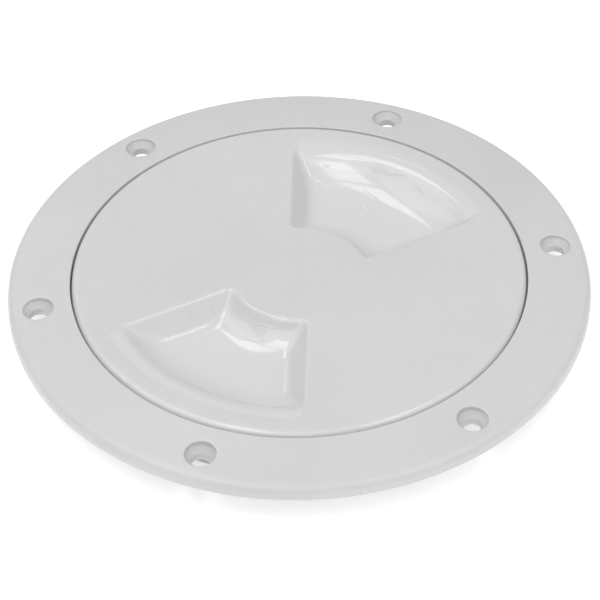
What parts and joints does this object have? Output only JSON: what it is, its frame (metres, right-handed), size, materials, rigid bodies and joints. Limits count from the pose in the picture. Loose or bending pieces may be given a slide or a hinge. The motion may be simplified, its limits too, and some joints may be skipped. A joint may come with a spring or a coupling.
{
  "type": "deck hatch",
  "caption": "Round screw-out deck hatch: flanged ring with countersunk screw holes, nearly flush threaded cover with fan-shaped finger pockets, and an O-ring seal.",
  "frame": {"origin": "on the hatch's axis, in the plane of the neck's lower rim, the lowest plane of the part", "axes": "+Z along the hatch's axis, out of the deck towards the finger pockets; +X through the centre of one screw hole"},
  "size_m": [0.2, 0.2, 0.0208],
  "materials": {
    "ring_plastic": "white UV-stable ABS, satin gloss with a fine moulded grain",
    "cover_plastic": "white UV-stable ABS, satin gloss, glossier in the finger pockets",
    "seal_rubber": "black nitrile rubber, matt"
  },
  "bodies": {
    "ring": {"mounting_ring": "ring_plastic"},
    "seal": {"cover_o_ring": "seal_rubber"},
    "cover": {"cover": "cover_plastic"}
  },
  "joints": [
    {"name": "cover_rise", "type": "slide", "parent": "ring", "child": "seal", "axis": [0, 0, 1], "range_m": [0, 0.0241]},
    {"name": "cover_turn", "type": "hinge", "parent": "seal", "child": "cover", "pos_m": [0, 0, 0.0104], "axis": [0, 0, 1], "range_deg": [0, 1080]}
  ],
  "couplings": [
    {"joint": "cover_rise", "follows": "cover_turn", "m_per_rad": 0.0012732}
  ]
}
